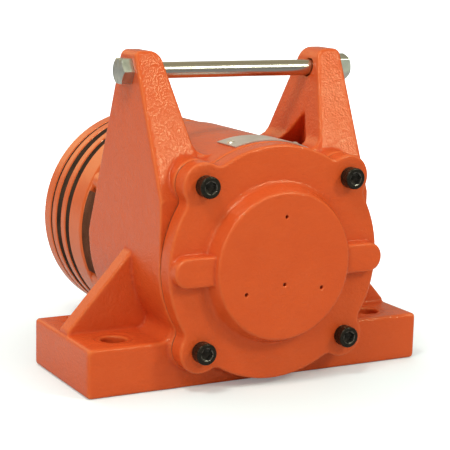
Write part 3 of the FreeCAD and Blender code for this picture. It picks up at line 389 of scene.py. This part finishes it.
hex_angles = np.linspace(0, 2 * math.pi, HEX_STEPS, endpoint=False)
ones = np.ones(HEX_STEPS)
along_x = Matrix.Rotation(math.pi / 2, 4, "Y")
lift_axis = (0, LIFT_Y, LIFT_Z)
plain_x = np.linspace(-SEAT_X, SEAT_X - THREAD_REACH - THREAD_RUNOUT, 40)
thread_x = np.linspace(SEAT_X - THREAD_REACH, BOLT_END_X - BOLT_TIP, 90)
bolt_thread = BAR_R - BOLT_THREAD_DEPTH * helix_wave(thread_x, hex_angles, BOLT_PITCH)
bolt_rows = hex_rows(HEAD_X, -SEAT_X, HEAD_TURN, hex_angles, both_ends=False)
bolt_rows += [(x, BAR_R * ones) for x in plain_x]
bolt_rows += list(zip(thread_x, bolt_thread))
bolt_rows += [(BOLT_END_X, 0.8 * BAR_R * ones)]
bar = as_piece("lifting_bar_bolt", [placed(ringed_body(bolt_rows), along_x, lift_axis)])

bore = (BAR_R + NUT_PLAY) * ones
mouth = bore + NUT_SINK
nut_rows = [(SEAT_X, mouth)] + hex_rows(SEAT_X, NUT_END_X, NUT_TURN, hex_angles, both_ends=True)
nut_rows += [(NUT_END_X, mouth), (NUT_END_X - NUT_SINK, bore), (SEAT_X + NUT_SINK, bore)]
nut = as_piece("lifting_bar_nut", [placed(ringed_body(nut_rows, hollow=True), along_x, lift_axis)])


def bare_metal(name, patch, detail, dark, light, sheen, dents=0.0):
    """Bare metal whose patches, of one width, run from a dark to a light tone and between the two
    roughnesses of its sheen. Dents, where it has any, are the patches' height as a bump."""
    material, tree, place = new_material(name)
    patches = put(tree, "TexNoise", {"Vector": place, "Scale": 1 / patch, "Detail": detail}).outputs["Fac"]
    tone = put(tree, "Mix", {0: patches, 6: linear(dark), 7: linear(light)}, data_type="RGBA")
    shine = put(tree, "MapRange", {"Value": patches, "To Min": sheen[0], "To Max": sheen[1]})
    sockets = {"Base Color": tone.outputs[2], "Metallic": 1.0, "Roughness": shine.outputs["Result"]}
    if dents:
        sockets["Normal"] = put(tree, "Bump", {"Height": patches, "Distance": dents}).outputs["Normal"]
    shader = put(tree, "BsdfPrincipled", sockets)
    put(tree, "OutputMaterial", {"Surface": shader.outputs["BSDF"]})
    return material


# bright zinc over forged hexes: pale grey with a cool bluish cast and soft patches
zinc = bare_metal("bright_zinc_plated_steel", 5 * mm, 3.0, "#A9B4B3", "#D9DEDA", (0.22, 0.42), 0.03 * mm)

# drawn bar: a near mirror with lines along its length, drawn wider than the die's so that they show
LINE_LENGTH, LINE_WIDTH = 96 * mm, 0.8 * mm
drawn_steel, tree, place = new_material("bright_drawn_steel")
stretch = put(tree, "Mapping", {"Vector": place, "Scale": (1 / LINE_LENGTH, 1 / LINE_WIDTH, 1 / LINE_WIDTH)})
lines = put(tree, "TexNoise", {"Vector": stretch.outputs["Vector"], "Scale": 1.0, "Detail": 1.0})
tone = put(tree, "Mix", {0: lines.outputs["Fac"], 6: linear("#C4C1BB"), 7: linear("#D6D3CE")},
           data_type="RGBA")
sheen = put(tree, "MapRange", {"Value": lines.outputs["Fac"], "To Min": 0.22, "To Max": 0.27})
shader = put(tree, "BsdfPrincipled", {
    "Base Color": tone.outputs[2], "Metallic": 1.0, "Roughness": sheen.outputs["Result"]})
put(tree, "OutputMaterial", {"Surface": shader.outputs["BSDF"]})

# the drawn finish is on the bar between the towers, and zinc on the head and the end in the nut
bar.data.materials.append(drawn_steel)
bar.data.materials.append(zinc)
centres = np.empty(3 * len(bar.data.polygons), np.float32)
bar.data.polygons.foreach_get("center", centres)
face_x = centres[0::3]
is_zinc = (face_x < -SEAT_X + HAIR) | (face_x > SEAT_X)
bar.data.polygons.foreach_set("material_index", is_zinc.astype(np.int32))
nut.data.materials.append(zinc)
for piece, node in ((bar, "lifting_bolt"), (nut, "lifting_nut")):
    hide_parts(node)
    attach(piece, "housing")

# Name plate: a thin blank of rolled aluminium, bent to the crown of the body and held by two drive
# pins. To the eye it is a pale satin grey with smudges, lined by the rolls along one way; the lines
# are drawn wider than real ones so that they show.
GRAIN_LENGTH = 20 * mm
GRAIN_WIDTH = GRAIN_LENGTH / 30
SMUDGE_WIDTH = 14 * mm
plate_aluminium, tree, place = new_material("rolled_aluminium_plate")
stretch = put(tree, "Mapping", {"Vector": place,
                                "Scale": (1 / GRAIN_LENGTH, 1 / GRAIN_WIDTH, 1 / GRAIN_LENGTH)})
grain = put(tree, "TexNoise", {"Vector": stretch.outputs["Vector"], "Scale": 1.0, "Detail": 4.0})
smudge = put(tree, "TexNoise", {"Vector": place, "Scale": 1 / SMUDGE_WIDTH, "Detail": 3.0})
tone = put(tree, "Mix", {0: smudge.outputs["Fac"], 6: linear("#C2BAB1"), 7: linear("#E8E2DA")},
           data_type="RGBA")
sheen = put(tree, "MapRange", {"Value": grain.outputs["Fac"], "To Min": 0.25, "To Max": 0.5})
bump = put(tree, "Bump", {"Height": grain.outputs["Fac"], "Distance": 0.02 * mm})
shader = put(tree, "BsdfPrincipled", {
    "Base Color": tone.outputs[2], "Metallic": 0.55, "Roughness": sheen.outputs["Result"],
    "Normal": bump.outputs["Normal"]})
put(tree, "OutputMaterial", {"Surface": shader.outputs["BSDF"]})
dress(plate_aluminium, "nameplate")

# drive pins: hammered bright steel, dull enough to catch light from all round
DENT_WIDTH = 1.2 * mm
pin_steel, tree, place = new_material("hammered_bright_steel")
dents = put(tree, "TexNoise", {"Vector": place, "Scale": 1 / DENT_WIDTH, "Detail": 2.0})
bump = put(tree, "Bump", {"Height": dents.outputs["Fac"], "Distance": 0.05 * mm})
shader = put(tree, "BsdfPrincipled", {
    "Base Color": linear("#F2F0EC"), "Metallic": 1.0, "Roughness": 0.45, "Normal": bump.outputs["Normal"]})
put(tree, "OutputMaterial", {"Surface": shader.outputs["BSDF"]})
dress(pin_steel, "nameplate_pins")

# Rotor: a turned steel shaft that carries a half-moon weight, with keys, a washer and a nut sawn or
# turned from bar: mid grey, with faint rings of the tool, drawn far coarser than real ones, about
# 3 mm apart, so that they show. The spring rings of the weight and the rear bearing are black.
FEED_SCALE = 9 * mm
STAIN_WIDTH = 12 * mm
turned_steel, tree, place = new_material("turned_carbon_steel")
feed = put(tree, "TexWave", {"Vector": place, "Scale": 1 / FEED_SCALE, "Distortion": 1.5, "Detail": 2.0},
           wave_type="BANDS", bands_direction="Y")
stain = put(tree, "TexNoise", {"Vector": place, "Scale": 1 / STAIN_WIDTH, "Detail": 4.0})
tone = put(tree, "Mix", {0: stain.outputs["Fac"], 6: linear("#8A8984"), 7: linear("#B9B8B4")},
           data_type="RGBA")
sheen = put(tree, "MapRange", {"Value": feed.outputs["Fac"], "To Min": 0.28, "To Max": 0.42})
bump = put(tree, "Bump", {"Height": feed.outputs["Fac"], "Distance": 0.02 * mm})
shader = put(tree, "BsdfPrincipled", {
    "Base Color": tone.outputs[2], "Metallic": 1.0, "Roughness": sheen.outputs["Result"],
    "Normal": bump.outputs["Normal"]})
put(tree, "OutputMaterial", {"Surface": shader.outputs["BSDF"]})
dress(turned_steel, "rotor_shaft", "eccentric_weight", "weight_key")
dress(turned_steel, "turbine_key", "turbine_washer", "turbine_nut")
dress(black_oxide, "weight_retaining_rings", "rear_bearing_retaining_ring")

# Roller bearings: rings and rollers of hardened chrome steel, ground to a clear mirror with a slight
# haze, and kept apart by cages machined from brass, a warm yellow with a brown tarnish. The outer
# rings are pressed into bored seats.
ground_steel = bare_metal("ground_bearing_steel", 4 * mm, 3.0, "#B2B3B5", "#D2D3D5", (0.08, 0.2))
cage_brass = bare_metal("machined_brass", 5 * mm, 4.0, "#9C7B3C", "#CDAE62", (0.25, 0.45))
for end in ("front", "rear"):
    dress(ground_steel, *[f"{end}_bearing_{part}" for part in ("outer_ring", "inner_ring", "rollers")])
    dress(cage_brass, f"{end}_bearing_cage")

# Shaft seal: a moulded nitrile lip seal, pressed in behind the rear bearing to keep its grease from
# the exhaust air. To the eye it is a matt black with a faint grey bloom.
BLOOM_WIDTH = 3 * mm
nitrile, tree, place = new_material("black_nitrile_rubber")
bloom = put(tree, "TexNoise", {"Vector": place, "Scale": 1 / BLOOM_WIDTH, "Detail": 3.0})
tone = put(tree, "Mix", {0: bloom.outputs["Fac"], 6: linear("#0F0F10"), 7: linear("#242425")},
           data_type="RGBA")
shader = put(tree, "BsdfPrincipled", {"Base Color": tone.outputs[2], "Roughness": 0.6})
put(tree, "OutputMaterial", {"Surface": shader.outputs["BSDF"]})
dress(nitrile, "shaft_seal")

# Rear cover and the stack behind it: turned iron rings, clamped on one another by long screws and
# sprayed with the same enamel. The coat is even, the skin smoother than the casting's, and the
# corners stay crisp.
TURNED_PEBBLE = 2.0 * mm
TURNED_DEPTH = 0.25 * mm
turned_enamel = orange_enamel(
    "orange_enamel_on_turned_iron", TURNED_PEBBLE, TURNED_DEPTH, "#D8612E", "#DE6631", painted_light=False)
dress(turned_enamel, "rear_cover", "turbine_casing", "muffler_ring_1", "muffler_ring_2", "end_cap")

# Exhaust felts: pressed wool felt, dark brown with oil, in strips around the drum and in rings
# between the metal ones, so the spent air leaves through them quietly.
FUZZ_WIDTH = 0.9 * mm
BLOT_WIDTH = 15 * mm


def wool_felt(name, dark, light):
    """Pressed wool between a dark and a light tone: to the eye a dull fuzzy brown, blotched by oil."""
    material, tree, place = new_material(name)
    fuzz = put(tree, "TexNoise", {"Vector": place, "Scale": 1 / FUZZ_WIDTH, "Detail": 5.0, "Roughness": 0.7})
    blots = put(tree, "TexNoise", {"Vector": place, "Scale": 1 / BLOT_WIDTH, "Detail": 3.0})
    mixed = put(tree, "Math", {0: fuzz.outputs["Fac"], 1: blots.outputs["Fac"]}, operation="MULTIPLY")
    spread = put(tree, "MapRange", {"Value": mixed.outputs["Value"], "From Min": 0.1, "From Max": 0.45})
    tone = put(tree, "Mix", {0: spread.outputs["Result"], 6: linear(dark), 7: linear(light)},
               data_type="RGBA")
    bump = put(tree, "Bump", {"Height": fuzz.outputs["Fac"], "Distance": 0.35 * mm})
    shader = put(tree, "BsdfPrincipled", {
        "Base Color": tone.outputs[2], "Roughness": 0.95, "Specular IOR Level": 0.1,
        "Normal": bump.outputs["Normal"]})
    put(tree, "OutputMaterial", {"Surface": shader.outputs["BSDF"]})
    return material


dress(wool_felt("oily_pressed_wool_felt", "#4A2A1A", "#7A4C36"), "exhaust_felt_band")
# the felt rings deep in the slots between the metal rings take a darker copy of the same felt: painted shade
# of the narrow slots
slot_felt_painted_shade = wool_felt("pressed_wool_felt_with_painted_slot_shade", "#2A1E16", "#4A3A2C")
dress(slot_felt_painted_shade, "muffler_felt_1", "muffler_felt_2", "muffler_felt_3")

# Turbine: a wheel with crescent blades, milled from aluminium, keyed to the shaft and driven by air
# from the nozzle plate that a tube feeds. All three are a clean pale grey with a soft machined sheen.
machined_aluminium = bare_metal("machined_aluminium", 6 * mm, 4.0, "#B5B7B8", "#D8D9DA", (0.25, 0.4))
dress(machined_aluminium, "turbine_wheel", "nozzle_plate", "inlet_tube")

# Stack screws: six long cap screws in alloy steel, black like the cover's, with their heads sunk into
# the end cap. They pass through every ring of the stack and clamp it to the housing.
stack_low, stack_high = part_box("stack_screws")
STACK_PITCH_R = 81.0 * mm
STACK_ANGLES = np.radians(30.0 + 60.0 * np.arange(6))
STACK_KEY_TURN = 0.7
STACK_HEAD_H = 8.0 * mm
STACK_SEAT_Y = stack_high[1] - STACK_HEAD_H
long_screw = cap_screw(head_d=12.0 * mm, head_h=STACK_HEAD_H, shank_d=8.0 * mm,
                       length=STACK_SEAT_Y - stack_low[1], socket=6.0 * mm,
                       steps=60, teeth=20, rows_per_turn=4)
facing_rear = Matrix.Rotation(-math.pi / 2, 4, "X")
long_screws = as_piece("stack_cap_screws", [
    placed(long_screw, facing_rear @ Matrix.Rotation(STACK_KEY_TURN * i, 4, "Z"),
           (STACK_PITCH_R * math.cos(angle), STACK_SEAT_Y, SHAFT_Z + STACK_PITCH_R * math.sin(angle)))
    for i, angle in enumerate(STACK_ANGLES)])
long_screws.data.materials.append(black_oxide)
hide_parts("stack_screws")
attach(long_screws, "housing")

# Floor: a wide sheet of white paper that keeps a soft shadow near the part. The camera sees it glow
# more the further it is from the part, so that it runs out to plain white, and reflections show it
# darker in front of the part, where the room is dim.
FLOOR_HALF = 12.0
SHADOW_R, WHITE_R = 0.15, 0.7
corners = [(-FLOOR_HALF, -FLOOR_HALF, 0.0), (FLOOR_HALF, -FLOOR_HALF, 0.0),
           (FLOOR_HALF, FLOOR_HALF, 0.0), (-FLOOR_HALF, FLOOR_HALF, 0.0)]
floor_mesh = bpy.data.meshes.new("studio_floor")
floor_mesh.from_pydata(corners, [], [(0, 1, 2, 3)])
floor = bpy.data.objects.new("studio_floor", floor_mesh)
bpy.context.scene.collection.objects.link(floor)
paper, tree, place = new_material("white_studio_paper")
path = put(tree, "LightPath")
seen, mirrored = path.outputs["Is Camera Ray"], path.outputs["Is Glossy Ray"]
away = put(tree, "VectorMath", {0: place}, operation="LENGTH")
level = put(tree, "MapRange", {"Value": away.outputs["Value"], "From Min": SHADOW_R, "From Max": WHITE_R,
                               "To Min": 0.18, "To Max": 1.0})
lift = put(tree, "Math", {0: seen, 1: level.outputs["Result"]}, operation="MULTIPLY")
depth_y = put(tree, "SeparateXYZ", {0: place}).outputs["Y"]
ahead = put(tree, "MapRange", {"Value": depth_y, "From Min": 0.1, "From Max": -0.2})
dim = put(tree, "Math", {0: mirrored, 1: ahead.outputs["Result"]}, operation="MULTIPLY")
# to the camera the paper is tinted a little cool, which paints out the orange light that the part throws on
# it; to other rays it is a warm grey
sheet = put(tree, "Mix", {0: seen, 6: linear("#D4CFC8"), 7: linear("#E2EDEE")}, data_type="RGBA")
sheet = put(tree, "Mix", {0: dim.outputs["Value"], 6: sheet.outputs[2], 7: linear("#8A8A8A")},
            data_type="RGBA")
matte = put(tree, "BsdfDiffuse", {"Color": sheet.outputs[2]})
glow = put(tree, "Emission", {"Color": linear("#FFFFFF"), "Strength": lift.outputs["Value"]})
both = put(tree, "AddShader", {0: matte.outputs["BSDF"], 1: glow.outputs["Emission"]})
put(tree, "OutputMaterial", {"Surface": both.outputs["Shader"]})
floor_mesh.materials.append(paper)

# Light: a studio room, white to the camera, that lights the part from above and behind more than from
# the front and left, and looks warmer and dimmer in reflections. Compact lamps high on the right and
# the left put bright patches on the leaning faces, and wide ones fill the left side and the back.
ROOM_SIDES = (((-1, 0, 0), 0.18), ((0, 1, 0), 0.63), ((0, -1, 0), 0.43), ((0, 0, 1), 0.64))
MIRRORED_SHARE = 0.6
LAMP_AIM = np.array([0.0, 0.0, 0.13])
world = bpy.data.worlds.new("studio_room")
bpy.context.scene.world = world
world.use_nodes = True
tree = world.node_tree
tree.nodes.clear()
path = put(tree, "LightPath")
seen = put(tree, "Math", {0: path.outputs["Is Camera Ray"], 1: path.outputs["Is Transmission Ray"]},
           operation="MAXIMUM")
mirrored = path.outputs["Is Glossy Ray"]
outward = put(tree, "TexCoord").outputs["Generated"]
room = 0.0
for side, strength in ROOM_SIDES:
    facing = put(tree, "VectorMath", {0: outward, 1: side}, operation="DOT_PRODUCT")
    share = put(tree, "Math", {0: facing.outputs["Value"], 1: 0.0}, operation="MAXIMUM")
    room = put(tree, "Math", {0: share.outputs["Value"], 1: strength, 2: room},
               operation="MULTIPLY_ADD").outputs["Value"]
fade = put(tree, "MapRange", {"Value": mirrored, "To Min": 1.0, "To Max": MIRRORED_SHARE})
room = put(tree, "Math", {0: room, 1: fade.outputs["Result"]}, operation="MULTIPLY")
level = put(tree, "Math", {0: seen.outputs["Value"], 1: room.outputs["Value"]}, operation="MAXIMUM")
climb = put(tree, "SeparateXYZ", {0: outward}).outputs["Z"]
overhead = put(tree, "MapRange", {"Value": climb, "From Min": 0.15, "From Max": 0.75})
warm = put(tree, "Mix", {0: overhead.outputs["Result"], 6: linear("#FFECD4"), 7: linear("#FFF1C4")},
           data_type="RGBA")
tint = put(tree, "Mix", {0: mirrored, 6: linear("#FFFFFF"), 7: warm.outputs[2]}, data_type="RGBA")
sky = put(tree, "Background", {"Color": tint.outputs[2], "Strength": level.outputs["Value"]})
put(tree, "OutputWorld", {"Surface": sky.outputs["Background"]})


def stand(name, data, right, up, back, spot):
    """Puts a lamp or a camera at a spot, with its three axes as the columns of its turn."""
    body = bpy.data.objects.new(name, data)
    bpy.context.scene.collection.objects.link(body)
    pose = np.eye(4)
    pose[:3] = np.column_stack([right, up, back, spot])
    body.matrix_world = Matrix(pose.tolist())
    return body


def soft_lamp(name, towards, distance, size, power, colour):
    """Square soft box at a distance in a direction from the middle of the part, facing it."""
    lamp = bpy.data.lights.new(name, "AREA")
    lamp.size = size
    lamp.energy = power
    lamp.color = linear(colour)[:3]
    back = np.array(towards) / np.linalg.norm(towards)
    side = np.cross([0.0, 0.0, 1.0], back)
    side /= np.linalg.norm(side)
    stand(name, lamp, side, np.cross(back, side), back, LAMP_AIM + distance * back)


soft_lamp("right_lamp", (0.47, -0.71, 0.53), distance=1.6, size=0.28, power=6.7, colour="#F8FFE6")
soft_lamp("left_front_lamp", (-0.81, -0.47, 0.29), distance=2.0, size=0.7, power=4.0, colour="#FFFBE6")
soft_lamp("upper_left_lamp", (-0.45, -0.3, 0.84), distance=2.0, size=0.45, power=14.0, colour="#FFFDF4")
soft_lamp("warm_back_light", (-0.25, 0.85, 0.46), distance=1.8, size=1.0, power=2.8, colour="#FFE7A0")

# Camera: at the height and angle of the photograph, with its slight roll. Its focal length, in pixels
# of the square frame, and its place were solved from points measured there.
FOCAL_PIXELS, FRAME_PIXELS = 1485.36, 450
SENSOR_WIDTH = 36.0
CAMERA_SPOT = np.array([-567.9, -1024.6, 336.9]) * mm
CAMERA_RIGHT = (0.8789, -0.4764, 0.0257)
CAMERA_UP = (0.0675, 0.1774, 0.9818)
CAMERA_BACK = (-0.4723, -0.8612, 0.1881)
camera = bpy.data.cameras.new("photo_camera")
camera.sensor_width = SENSOR_WIDTH
camera.lens = FOCAL_PIXELS / FRAME_PIXELS * SENSOR_WIDTH
camera.clip_start, camera.clip_end = 0.05, 60.0
eye = stand("photo_camera", camera, CAMERA_RIGHT, CAMERA_UP, CAMERA_BACK, CAMERA_SPOT)
bpy.context.scene.camera = eye
bpy.context.scene.view_settings.view_transform = "Standard"
